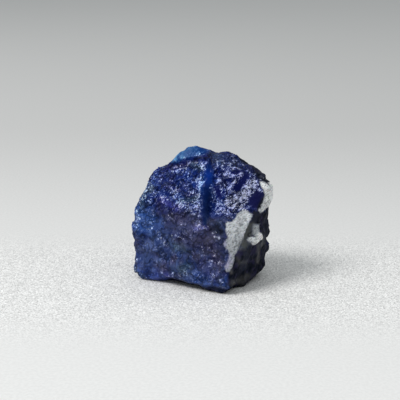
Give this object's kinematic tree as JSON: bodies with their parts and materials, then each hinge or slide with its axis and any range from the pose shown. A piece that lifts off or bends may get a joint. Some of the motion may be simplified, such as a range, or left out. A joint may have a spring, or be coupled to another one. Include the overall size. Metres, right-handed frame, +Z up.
{
  "type": "rough afghanite specimen",
  "caption": "Rough hand-broken lump of deep blue afghanite with white calcite grown through one side, resting on its flat base.",
  "frame": {"origin": "the middle of the bounding box, at the level of the base", "axes": "+Z up off the base, +X to the side with the calcite, -Y the broad front"},
  "size_m": [0.025, 0.021, 0.0242],
  "materials": {
    "afghanite": "rough fracture, glassy grains that glint"
  },
  "bodies": {
    "root": {"stone": "afghanite"}
  },
  "joints": []
}
